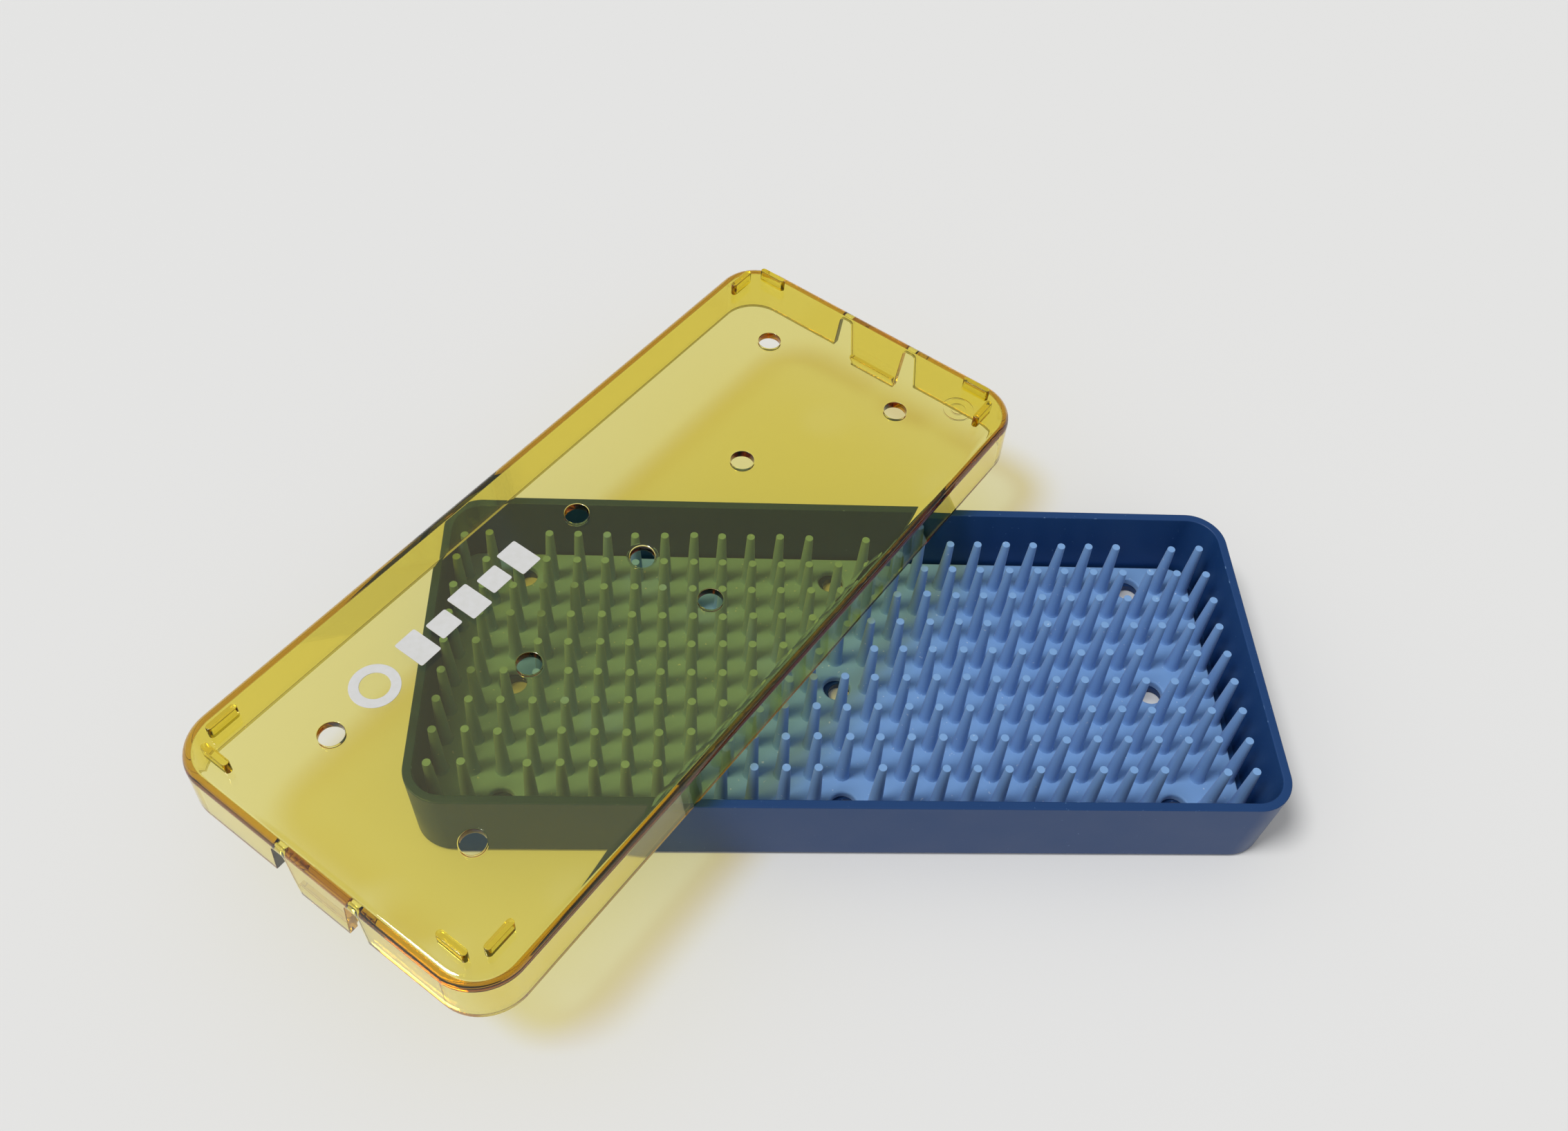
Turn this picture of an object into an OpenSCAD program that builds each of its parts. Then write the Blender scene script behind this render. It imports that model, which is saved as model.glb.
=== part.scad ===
// Instrument sterilising tray: an opaque base, a soft finger mat that lies in it,
// and a clear latching lid, shown taken off and laid across the base.
// The origin is the centre of the base's underside, +X runs along the base's long
// side, +Y across it and +Z up. All sizes are in millimetres.

/* [Base] */
// Length of the base over its rim
base_l = 152.4; // [120:0.1:200]
// Width of the base over its rim
base_w = 66; // [56:0.1:90]
// Height of the base, underside to rim
base_h = 17.6; // [14:0.1:24]
// Outer corner radius at the rim
base_corner_r = 7; // [5:0.1:12]
// How far the outer walls lean in from rim to underside
base_draft = 0.3; // [0.1:0.05:0.6]
// Width of the flat rim
rim_w = 1.6; // [1.2:0.1:2.2]
// How far the inner walls lean in from rim to floor
cavity_draft = 0.6; // [0.3:0.05:1]
// Thickness of the base's floor
floor_t = 1.8; // [1.4:0.1:2.6]
// Height of the small step around the underside
foot_h = 0.8; // [0.5:0.1:1.2]
// How far that step is set in
foot_inset = 0.5; // [0.3:0.1:0.8]
// Diameter of the drain holes in the floor
floor_hole_d = 4.4; // [3:0.1:5]
// Gap between a closed lid's hook and the bottom of its catch recess
catch_floor_gap = 0.15; // [0.1:0.05:0.3]

/* [Finger mat] */
// Gap between the mat and the base, at each end
mat_gap_l = 0.9; // [0.9:0.1:1.5]
// Gap between the mat and the base, along each side
mat_gap_w = 0.5; // [0.4:0.1:1.2]
// How far the mat lies off centre, within its gap
mat_shift = -0.8; // [-0.8:0.1:0.8]
// Thickness of the mat's sheet
mat_t = 1.8; // [1.4:0.1:2.6]
// How much tighter the mat's corners are than the floor's
mat_corner_ease = 0.8; // [0.8:0.1:1.5]
// Distance from pin to pin along the mat
pin_pitch_l = 5.5; // [4.5:0.1:7]
// Distance from pin to pin across the mat
pin_pitch_w = 6.2; // [5:0.1:7.5]
// Least sheet left between an outermost pin's root and the mat's edge
pin_edge = 0.2; // [0.1:0.1:2]
// Diameter of a pin where it meets the sheet
pin_root_d = 2.6; // [2.2:0.1:3.2]
// Diameter of a pin's flat tip
pin_tip_d = 1.5; // [1.2:0.1:2]
// How far the pin tips lie below the rim
pin_below_rim = 0.6; // [0.4:0.1:3]
// Diameter of the drain holes in the mat
mat_hole_d = 5; // [4:0.1:5.6]
// Pins between an end drain hole and the end of its row
hole_from_end = 2; // [1:1:4]

/* [Lid] */
// Side clearance between the closed lid and the base
lid_clear = 0.35; // [0.3:0.05:0.8]
// Thickness of the lid's walls
lid_wall_t = 1.5; // [1.2:0.1:2]
// Thickness of the lid's panel
panel_t = 1.6; // [1.3:0.1:2.2]
// Height of the lid, rim to top
lid_h = 11.2; // [9:0.1:13]
// How far the lid's walls lean in from rim to top
lid_draft = 0.3; // [0.1:0.05:0.4]
// Radius along the lid's top outer edge
lid_edge_r = 2.2; // [1.6:0.1:3]
// Diameter of the vent holes in the panel
vent_d = 4.4; // [3.5:0.1:5.5]
// Diameter of the centre vent's countersink
vent_sink_d = 5.8; // [5.6:0.1:7]
// Half the distance between the end vents, along the lid
vent_end = 59.2; // [44:0.1:84]
// Half the distance between the side vents, across the lid
vent_side = 15.4; // [12:0.1:24]

/* [Latch tabs] */
// Width of a tab at its root
tab_root_w = 13.2; // [11:0.1:18]
// Width of a tab at its free edge
tab_tip_w = 10.8; // [8:0.1:11]
// How far a tab hangs below the lid's rim
tab_drop = 3; // [2:0.1:3.5]
// How far the hook stands in from the tab
hook = 0.9; // [0.7:0.05:1]
// Height of the hook's ledge above the lid's rim
ledge_h = 0.2; // [0:0.1:0.6]
// Width of a slot at its top
slot_top_w = 2.6; // [2:0.1:3.5]
// Width of a slot at the lid's rim
slot_rim_w = 4.4; // [3.6:0.1:6]
// Material left above a slot, below the panel's top
slot_bridge = 2.9; // [2.6:0.1:4]

/* [Stacking lugs] */
// Length of a lug
lug_l = 5.9; // [4:0.1:8]
// Thickness of a lug
lug_t = 1.3; // [1:0.1:1.8]
// Height of a lug above the panel
lug_h = 2.5; // [1.5:0.1:4]
// Distance from a lid's end to the middle of the lugs along it
lug_from_end = 4.6; // [4:0.1:8]
// Distance from a lid's side to the middle of the lugs along it
lug_from_side = 5.2; // [4:0.1:8]
// Distance of a lug's middle from the lid's corner, along the edge that it follows
lug_from_corner = 9.7; // [8:0.1:14]

/* [Print and mould marks] */
// Thickness of the printed ink
ink_t = 0.1; // [0.05:0.01:0.2]
// Length of the printed mark
mark_l = 41; // [20:0.5:60]
// Height of the printed mark
mark_h = 8.6; // [4:0.1:12]
// Depth of the moulder's ring on the panel's underside
ring_depth = 0.15; // [0.1:0.01:0.3]
// Diameter of the moulder's ring
ring_d = 6.4; // [4:0.1:8]

/* [Where the lid lies] */
// How far the lid is turned on the base, in degrees
lid_turn = 52.4; // [45:0.1:60]
// Where the lid's centre lies, along the base
lid_x = -37.5; // [-45:0.1:-30]
// Where the lid's centre lies, across the base
lid_y = 11.2; // [5:0.1:15]

/* [Hidden] */
$fn = 64;
eps = 0.01;

cavity_l = base_l - 2 * rim_w;
cavity_w = base_w - 2 * rim_w;
cavity_r = base_corner_r - rim_w;
floor_l = cavity_l - 2 * cavity_draft;
floor_w = cavity_w - 2 * cavity_draft;

mat_l = floor_l - 2 * mat_gap_l;
mat_w = floor_w - 2 * mat_gap_w;
mat_corner_r = cavity_r - cavity_draft - mat_corner_ease;
mat_top = floor_t + mat_t;
pin_h = base_h - pin_below_rim - mat_top;
// The pins fill the mat at their pitch, as many each side of its middle as fit.
mid_col = floor((mat_l / 2 - pin_root_d / 2 - pin_edge) / pin_pitch_l);
mid_row = floor((mat_w / 2 - pin_root_d / 2 - pin_edge) / pin_pitch_w);
pins_along = 2 * mid_col + 1;
pins_across = 2 * mid_row + 1;
hole_cols = [hole_from_end, mid_col, pins_along - 1 - hole_from_end];
hole_rows = [0, mid_row, pins_across - 1];

lid_grow = lid_clear + lid_wall_t;
lid_l = base_l + 2 * lid_grow;
lid_w = base_w + 2 * lid_grow;
lid_corner_r = base_corner_r + lid_grow;
lid_inner_h = lid_h - panel_t;
slot_top = lid_h - slot_bridge;
slot_round = 0.7;
sink_depth = 0.8;

// The height of the lid's rim above the table when the lid is shut: its panel rests on the base's rim.
closed_rim_z = base_h - lid_inner_h;
catch_gap = 0.3;
catch_depth = hook - lid_clear + catch_floor_gap;
catch_low = closed_rim_z - tab_drop - catch_gap;
catch_high = closed_rim_z + ledge_h + catch_gap / 2;
catch_w = tab_root_w + 2 * catch_gap;

// A block with rounded upright corners whose walls lean in towards the bottom.
module drafted_block(l, w, h, r, draft) {
    for (x = [-1, 1], y = [-1, 1])
        translate([x * (l / 2 - r), y * (w / 2 - r), 0]) cylinder(h = h, r1 = r - draft, r2 = r);
    rotate([90, 0, 90]) translate([0, 0, -(l / 2 - r)]) linear_extrude(l - 2 * r)
        drafted_section(w, h, draft);
    rotate([90, 0, 180]) translate([0, 0, -(w / 2 - r)]) linear_extrude(w - 2 * r)
        drafted_section(l, h, draft);
}

module drafted_section(w, h, draft) {
    polygon([[-w / 2 + draft, 0], [w / 2 - draft, 0], [w / 2, h], [-w / 2, h]]);
}

// The same block with its top edge rounded instead, standing on z = 0.
module round_top_slab(l, w, r, edge) {
    for (x = [-1, 1], y = [-1, 1])
        translate([x * (l / 2 - r), y * (w / 2 - r), 0]) rotate_extrude()
            intersection() { round_top_section(2 * r, edge); square([r, edge]); }
    rotate([90, 0, 90]) translate([0, 0, -(l / 2 - r)]) linear_extrude(l - 2 * r)
        round_top_section(w, edge);
    rotate([90, 0, 180]) translate([0, 0, -(w / 2 - r)]) linear_extrude(w - 2 * r)
        round_top_section(l, edge);
}

module round_top_section(w, edge) {
    translate([-(w / 2 - edge), 0]) square([w - 2 * edge, edge]);
    intersection() {
        for (x = [-1, 1]) translate([x * (w / 2 - edge), 0]) circle(edge);
        translate([-w / 2, 0]) square([w, edge]);
    }
}

// Children at each drain hole, three along by three across.
module at_drain_holes() {
    for (c = hole_cols, r = hole_rows)
        translate([(c - mid_col) * pin_pitch_l, (r - mid_row) * pin_pitch_w, 0]) children();
}

module base() {
    color("#2b4f8c") difference() {
        union() {
            drafted_block(base_l - 2 * base_draft, base_w - 2 * base_draft, foot_h,
                          base_corner_r - base_draft, foot_inset);
            translate([0, 0, foot_h])
                drafted_block(base_l, base_w, base_h - foot_h, base_corner_r, base_draft);
        }
        translate([0, 0, floor_t])
            drafted_block(cavity_l, cavity_w, base_h - floor_t, cavity_r, cavity_draft);
        translate([0, 0, base_h - eps])
            drafted_block(cavity_l, cavity_w, 1, cavity_r, 0);
        at_drain_holes() translate([0, 0, -1]) cylinder(h = floor_t + 2, d = floor_hole_d);
        for (side = [-1, 1])
            translate([side * base_l / 2, 0, (catch_low + catch_high) / 2])
                cube([2 * (catch_depth + base_draft), catch_w, catch_high - catch_low], center = true);
    }
}

module finger_mat() {
    color("#6f9fdc") translate([mat_shift, 0, floor_t]) difference() {
        union() {
            drafted_block(mat_l, mat_w, mat_t, mat_corner_r, 0);
            for (c = [0 : pins_along - 1], r = [0 : pins_across - 1])
                if (!is_hole(c, r))
                    translate([(c - mid_col) * pin_pitch_l, (r - mid_row) * pin_pitch_w, mat_t - eps])
                        cylinder(h = pin_h + eps, d1 = pin_root_d, d2 = pin_tip_d);
        }
        at_drain_holes() translate([0, 0, -1]) cylinder(h = mat_t + 2, d = mat_hole_d);
    }
}

function is_hole(c, r) = len(search(c, hole_cols)) > 0 && len(search(r, hole_rows)) > 0;

// The lid's own frame has its rim on z = 0 and its panel above.
module lid() {
    color("#d9a520", 0.55) place_lid() difference() {
        union() {
            lid_shell();
            lugs();
            for (side = [0, 180]) rotate([0, 0, side]) tab_end();
        }
        vents();
        moulders_ring();
    }
}

module place_lid() {
    translate([lid_x, lid_y, base_h]) rotate([0, 0, lid_turn]) children();
}

module lid_shell() {
    difference() {
        union() {
            translate([0, 0, lid_h - lid_edge_r]) mirror([0, 0, 1])
                drafted_block(lid_l, lid_w, lid_h - lid_edge_r, lid_corner_r, lid_draft);
            translate([0, 0, lid_h - lid_edge_r])
                round_top_slab(lid_l - 2 * lid_draft, lid_w - 2 * lid_draft, lid_corner_r - lid_draft, lid_edge_r);
        }
        translate([0, 0, -eps])
            drafted_block(lid_l - 2 * lid_wall_t, lid_w - 2 * lid_wall_t, lid_inner_h + eps,
                          lid_corner_r - lid_wall_t, 0);
        for (side = [0, 180], y = [-1, 1]) rotate([0, 0, side]) slot(y);
    }
}

// A slot beside a latch tab, open at the rim and rounded at its top.
module slot(y) {
    inner_top = tab_root_w / 2 + slot_round;
    outer_top = inner_top + slot_top_w - 2 * slot_round;
    inner_lean = atan((tab_root_w - tab_tip_w) / 2 / (slot_top + tab_drop));
    rim_outer = tab_edge(0) + slot_rim_w;
    outer_lean = atan((rim_outer - outer_top - slot_round) / slot_top);
    centre_z = slot_top - slot_round;
    translate([lid_l / 2 - 2 * lid_wall_t, 0, 0]) scale([1, y, 1]) rotate([90, 0, 90])
        linear_extrude(3 * lid_wall_t) {
            polygon([
                [tab_edge(-1), -1],
                [inner_top - slot_round * cos(inner_lean), centre_z + slot_round * sin(inner_lean)],
                [inner_top, slot_top],
                [outer_top, slot_top],
                [outer_top + slot_round * cos(outer_lean), centre_z + slot_round * sin(outer_lean)],
                [rim_outer + tan(outer_lean), -1]
            ]);
            translate([inner_top, centre_z]) circle(slot_round);
            translate([outer_top, centre_z]) circle(slot_round);
        }
}

// Half the tab's width at a height above the rim.
function tab_edge(z) =
    tab_tip_w / 2 + (tab_root_w - tab_tip_w) / 2 * (z + tab_drop) / (slot_top + tab_drop);

// The part of a latch tab that hangs below the rim, with its hook.
module tab_end() {
    hook_blend = 0.5;
    outer = lid_l / 2;
    inner = outer - lid_wall_t;
    intersection() {
        rotate([90, 0, 0]) translate([0, 0, -tab_root_w / 2]) linear_extrude(tab_root_w) polygon([
            [outer, eps], [outer, -tab_drop], [inner + hook_blend, -tab_drop],
            [inner - hook, ledge_h - hook_blend], [inner - hook, ledge_h],
            [inner, ledge_h], [inner + hook_blend, ledge_h], [inner + hook_blend, eps]
        ]);
        rotate([90, 0, 90]) linear_extrude(lid_l) polygon([
            [-tab_edge(ledge_h), ledge_h], [tab_edge(ledge_h), ledge_h],
            [tab_edge(-tab_drop), -tab_drop], [-tab_edge(-tab_drop), -tab_drop]
        ]);
    }
}

// Two lugs in each corner of the panel's top, which keep a tray stacked on the lid from sliding.
module lugs() {
    for (x = [-1, 1], y = [-1, 1]) {
        translate([x * (lid_l / 2 - lug_from_corner), y * (lid_w / 2 - lug_from_side), 0]) lug(0);
        translate([x * (lid_l / 2 - lug_from_end), y * (lid_w / 2 - lug_from_corner), 0]) lug(90);
    }
}

module lug(turn) {
    run = lug_l - lug_t;
    translate([0, 0, lid_h - eps]) rotate([0, 0, turn]) {
        for (x = [-1, 1]) translate([x * run / 2, 0, 0]) cylinder(h = lug_h + eps, d = lug_t);
        translate([-run / 2, -lug_t / 2, 0]) cube([run, lug_t, lug_h + eps]);
    }
}

module vents() {
    places = concat(
        [for (x = [-1, 1], y = [-1, 1]) [x * vent_end, y * vent_side]],
        [for (y = [-1, 1]) [0, y * vent_side]],
        [for (x = [-1, 1]) [x * vent_end / 2, 0]],
        [[0, 0]]
    );
    for (p = places) translate([p[0], p[1], lid_inner_h - 1]) cylinder(h = panel_t + 2, d = vent_d);
    translate([0, 0, lid_h - sink_depth]) cylinder(h = sink_depth + eps, d1 = vent_d, d2 = vent_sink_d);
}

// The two plain rings that a mould leaves under one corner of the panel.
module moulders_ring() {
    ring_w = 0.3;
    from_end = 9.9;
    from_side = 10.3;
    translate([lid_l / 2 - from_end, -(lid_w / 2 - from_side), lid_inner_h - eps]) {
        for (d = [ring_d, ring_d / 2]) difference() {
            cylinder(h = ring_depth, d = d);
            translate([0, 0, -1]) cylinder(h = ring_depth + 2, d = d - 2 * ring_w);
        }
    }
}

// A plain mark printed in white near one long edge of the lid: a ring and five bars.
module lid_print() {
    ring_w = mark_h * 0.2;
    gap = 1.6;
    bars = 5;
    bars_l = mark_l - mark_h - 2 * gap;
    bar_l = (bars_l - (bars - 1) * gap) / bars;
    start = -lid_l / 2 + 25.2;
    line_y = lid_w / 2 - 18.3;
    color("#dcdcdc") place_lid() translate([start, line_y, lid_h]) {
        translate([mark_h / 2, 0, 0]) difference() {
            cylinder(h = ink_t, d = mark_h);
            translate([0, 0, -1]) cylinder(h = ink_t + 2, d = mark_h - 2 * ring_w);
        }
        for (i = [0 : bars - 1])
            translate([mark_h + 2 * gap + i * (bar_l + gap), -mark_h / 2 + (mark_h - bar_h(i)) / 2, 0])
                cube([bar_l, bar_h(i), ink_t]);
    }
}

// The bars are low and tall in turn.
function bar_h(i) = mark_h * (i % 2 == 0 ? 0.75 : 0.5);

base();
finger_mat();
lid();
lid_print();
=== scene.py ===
"""Looks for an instrument sterilising tray: a blue base, a soft finger mat and a clear amber lid.

Every part is modelled in millimetres in its own upright frame, then laid into the CAD frame in
metres. The lid lies turned across the base, so that the mat and the table show through it.
"""

from __future__ import annotations

import logging
import math
import random
from dataclasses import dataclass, field
from enum import Enum
from typing import Callable, Iterable, Sequence

import bmesh
import bpy
from bmesh.types import BMEdge, BMesh, BMFace, BMVert
from mathutils import Matrix, Vector

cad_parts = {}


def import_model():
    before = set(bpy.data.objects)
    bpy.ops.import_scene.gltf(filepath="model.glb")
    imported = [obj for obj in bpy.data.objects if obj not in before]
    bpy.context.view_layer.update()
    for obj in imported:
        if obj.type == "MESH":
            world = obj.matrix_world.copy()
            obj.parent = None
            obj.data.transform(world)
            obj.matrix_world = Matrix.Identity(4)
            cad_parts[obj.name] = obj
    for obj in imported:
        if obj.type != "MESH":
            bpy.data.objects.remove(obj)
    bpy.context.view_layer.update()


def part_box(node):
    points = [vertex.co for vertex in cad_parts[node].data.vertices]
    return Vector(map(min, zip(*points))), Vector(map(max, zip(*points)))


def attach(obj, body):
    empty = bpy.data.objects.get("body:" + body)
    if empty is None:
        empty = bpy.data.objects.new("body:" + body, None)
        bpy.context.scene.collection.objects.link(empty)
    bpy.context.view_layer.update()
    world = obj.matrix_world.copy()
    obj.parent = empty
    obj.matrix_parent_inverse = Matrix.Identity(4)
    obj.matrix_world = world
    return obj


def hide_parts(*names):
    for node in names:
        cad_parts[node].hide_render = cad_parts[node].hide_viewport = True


log = logging.getLogger("tray")

MM = 0.001


# ---------------------------------------------------------------- colours and nodes


def linear(hex_colour: str) -> tuple[float, float, float, float]:
    """Turns an sRGB colour into the linear one that shaders take.

    Args:
        hex_colour: six hex digits, with or without a leading hash.

    Returns:
        Linear red, green and blue, with an alpha of 1.
    """
    digits = hex_colour.lstrip("#")
    channels = [int(digits[i : i + 2], 16) / 255 for i in (0, 2, 4)]
    red, green, blue = (
        c / 12.92 if c <= 0.04045 else ((c + 0.055) / 1.055) ** 2.4 for c in channels
    )
    return red, green, blue, 1.0


def per_metre(size_mm: float) -> float:
    """Gives the scale at which a pattern's features are about size_mm across."""
    return 1 / (size_mm * MM)


def add_node(
    tree: bpy.types.NodeTree, kind: str, settings: dict | None = None, **sockets: object
) -> bpy.types.Node:
    """Adds a node, sets it up and links it.

    Args:
        tree: the node tree that gets the node.
        kind: the node's type name.
        settings: the node's own options, by name.
        **sockets: its inputs, by name with _ for a space, or by place as i0, i1 and so on.
            Another node's output is linked, and anything else is set as the value.

    Returns:
        The new node.
    """
    node = tree.nodes.new(kind)
    for name, value in (settings or {}).items():
        setattr(node, name, value)
    for name, value in sockets.items():
        place = name[1:]
        socket = node.inputs[
            int(place) if name[0] == "i" and place.isdigit() else name.replace("_", " ")
        ]
        if isinstance(value, bpy.types.NodeSocket):
            tree.links.new(value, socket)
        else:
            socket.default_value = value
    return node


def blank_material(name: str) -> tuple[bpy.types.Material, bpy.types.NodeTree]:
    """Makes a material with an empty node tree.

    Args:
        name: the material's name.

    Returns:
        The material and its node tree.
    """
    material = bpy.data.materials.new(name)
    material.use_nodes = True
    material.node_tree.nodes.clear()
    return material, material.node_tree


# ---------------------------------------------------------------- finishes


@dataclass(frozen=True)
class MouldedPolypropylene:
    """Opaque blue polypropylene from a polished mould.

    The eye sees an even, waxy half gloss with faint clouding and orange peel, a little dust, and
    pale flecks along the rounded edges, which are partly nicks and partly a painted highlight.
    """

    name: str = "moulded_polypropylene_blue"
    colour: str = "#193c6d"
    clouded: str = "#1e4274"
    # Pale blue of the dust specks and of the edge flecks, which are partly nicks and partly a
    # painted highlight.
    scuff_dust_and_glint: str = "#6e8fb8"
    cloud_mm: float = 16.0
    peel_mm: float = 0.9
    # Size of the edge flecks: partly nicks, partly a painted highlight.
    nick_and_glint_mm: float = 1.6
    dust_mm: float = 0.7
    roughness: tuple[float, float] = (0.3, 0.42)
    ior: float = 1.49
    specular: float = 0.28

    def build(self) -> bpy.types.Material:
        """Makes the material.

        Returns:
            The material.
        """
        material, tree = blank_material(self.name)
        place = add_node(tree, "ShaderNodeTexCoord").outputs["Object"]
        clouds = add_node(
            tree, "ShaderNodeTexNoise", Vector=place, Scale=per_metre(self.cloud_mm), Detail=3.0
        )
        body = add_node(
            tree,
            "ShaderNodeMix",
            {"data_type": "RGBA"},
            i0=clouds.outputs["Fac"],
            i6=linear(self.colour),
            i7=linear(self.clouded),
        )
        # Sparse flecks on the rounded edges: partly nicks, partly a painted highlight of edge
        # glints.
        nick_and_glint_noise = add_node(
            tree, "ShaderNodeTexNoise", Vector=place, Scale=per_metre(self.nick_and_glint_mm), Detail=4.0
        )
        few_nicks_and_glints = add_node(
            tree, "ShaderNodeMapRange", Value=nick_and_glint_noise.outputs["Fac"], i1=0.63, i2=0.7, i3=0.0, i4=0.85
        )
        up = add_node(
            tree,
            "ShaderNodeSeparateXYZ",
            Vector=add_node(tree, "ShaderNodeNewGeometry").outputs["Normal"],
        )
        # Only the rounded edges face part way up, and they are what rubs on the lid and the shelf.
        # Their pale flecks are partly nicks and partly a painted highlight.
        rising = add_node(
            tree, "ShaderNodeMapRange", Value=up.outputs["Z"], i1=0.1, i2=0.45, i3=0.0, i4=1.0
        )
        falling = add_node(
            tree, "ShaderNodeMapRange", Value=up.outputs["Z"], i1=0.8, i2=0.98, i3=1.0, i4=0.0
        )
        edge = add_node(
            tree,
            "ShaderNodeMath",
            {"operation": "MULTIPLY"},
            i0=rising.outputs[0],
            i1=falling.outputs[0],
        )
        nicked_and_glinting = add_node(
            tree,
            "ShaderNodeMath",
            {"operation": "MULTIPLY"},
            i0=edge.outputs[0],
            i1=few_nicks_and_glints.outputs[0],
        )
        # The edge flecks lighten the blue: part wear, part painted highlight.
        worn_and_glinting = add_node(
            tree,
            "ShaderNodeMix",
            {"data_type": "RGBA"},
            i0=nicked_and_glinting.outputs[0],
            i6=body.outputs[2],
            i7=linear(self.scuff_dust_and_glint),
        )
        dust = add_node(
            tree, "ShaderNodeTexNoise", Vector=place, Scale=per_metre(self.dust_mm), Detail=2.0
        )
        specks = add_node(
            tree, "ShaderNodeMapRange", Value=dust.outputs["Fac"], i1=0.72, i2=0.78, i3=0.0, i4=0.35
        )
        dusty = add_node(
            tree,
            "ShaderNodeMix",
            {"data_type": "RGBA"},
            i0=specks.outputs[0],
            i6=worn_and_glinting.outputs[2],
            i7=linear(self.scuff_dust_and_glint),
        )
        gloss = add_node(
            tree,
            "ShaderNodeMapRange",
            Value=clouds.outputs["Fac"],
            i1=0.3,
            i2=0.7,
            i3=self.roughness[0],
            i4=self.roughness[1],
        )
        peel = add_node(
            tree, "ShaderNodeTexNoise", Vector=place, Scale=per_metre(self.peel_mm), Detail=2.0
        )
        bump = add_node(
            tree, "ShaderNodeBump", Strength=0.12, Distance=0.02 * MM, Height=peel.outputs["Fac"]
        )
        shader = add_node(
            tree,
            "ShaderNodeBsdfPrincipled",
            Base_Color=dusty.outputs[2],
            Roughness=gloss.outputs[0],
            IOR=self.ior,
            Specular_IOR_Level=self.specular,
            Normal=bump.outputs[0],
        )
        add_node(tree, "ShaderNodeOutputMaterial", Surface=shader.outputs[0])
        return material


@dataclass(frozen=True)
class MattSilicone:
    """Light blue silicone rubber from an etched mould.

    The eye sees a soft matt skin with a powdery bloom, a fine grain and the odd fleck of dust.
    """

    name: str = "moulded_silicone_light_blue"
    colour: str = "#709ace"
    bloom: str = "#7fa8d8"
    fleck: str = "#d5e2f0"
    bloom_mm: float = 9.0
    grain_mm: float = 0.35
    fleck_mm: float = 0.8
    roughness: tuple[float, float] = (0.55, 0.68)
    ior: float = 1.41
    sheen: float = 0.12
    sheen_roughness: float = 0.5

    def build(self) -> bpy.types.Material:
        """Makes the material.

        Returns:
            The material.
        """
        material, tree = blank_material(self.name)
        place = add_node(tree, "ShaderNodeTexCoord").outputs["Object"]
        bloom = add_node(
            tree, "ShaderNodeTexNoise", Vector=place, Scale=per_metre(self.bloom_mm), Detail=4.0
        )
        body = add_node(
            tree,
            "ShaderNodeMix",
            {"data_type": "RGBA"},
            i0=bloom.outputs["Fac"],
            i6=linear(self.colour),
            i7=linear(self.bloom),
        )
        flecks = add_node(
            tree, "ShaderNodeTexNoise", Vector=place, Scale=per_metre(self.fleck_mm), Detail=1.0
        )
        few = add_node(
            tree,
            "ShaderNodeMapRange",
            Value=flecks.outputs["Fac"],
            i1=0.74,
            i2=0.79,
            i3=0.0,
            i4=0.5,
        )
        flecked = add_node(
            tree,
            "ShaderNodeMix",
            {"data_type": "RGBA"},
            i0=few.outputs[0],
            i6=body.outputs[2],
            i7=linear(self.fleck),
        )
        grain = add_node(
            tree, "ShaderNodeTexNoise", Vector=place, Scale=per_metre(self.grain_mm), Detail=3.0
        )
        bump = add_node(
            tree, "ShaderNodeBump", Strength=0.25, Distance=0.03 * MM, Height=grain.outputs["Fac"]
        )
        rough = add_node(
            tree,
            "ShaderNodeMapRange",
            Value=bloom.outputs["Fac"],
            i1=0.3,
            i2=0.7,
            i3=self.roughness[0],
            i4=self.roughness[1],
        )
        shader = add_node(
            tree,
            "ShaderNodeBsdfPrincipled",
            Base_Color=flecked.outputs[2],
            Roughness=rough.outputs[0],
            IOR=self.ior,
            Sheen_Weight=self.sheen,
            Sheen_Roughness=self.sheen_roughness,
            Normal=bump.outputs[0],
        )
        add_node(tree, "ShaderNodeOutputMaterial", Surface=shader.outputs[0])
        return material


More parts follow.
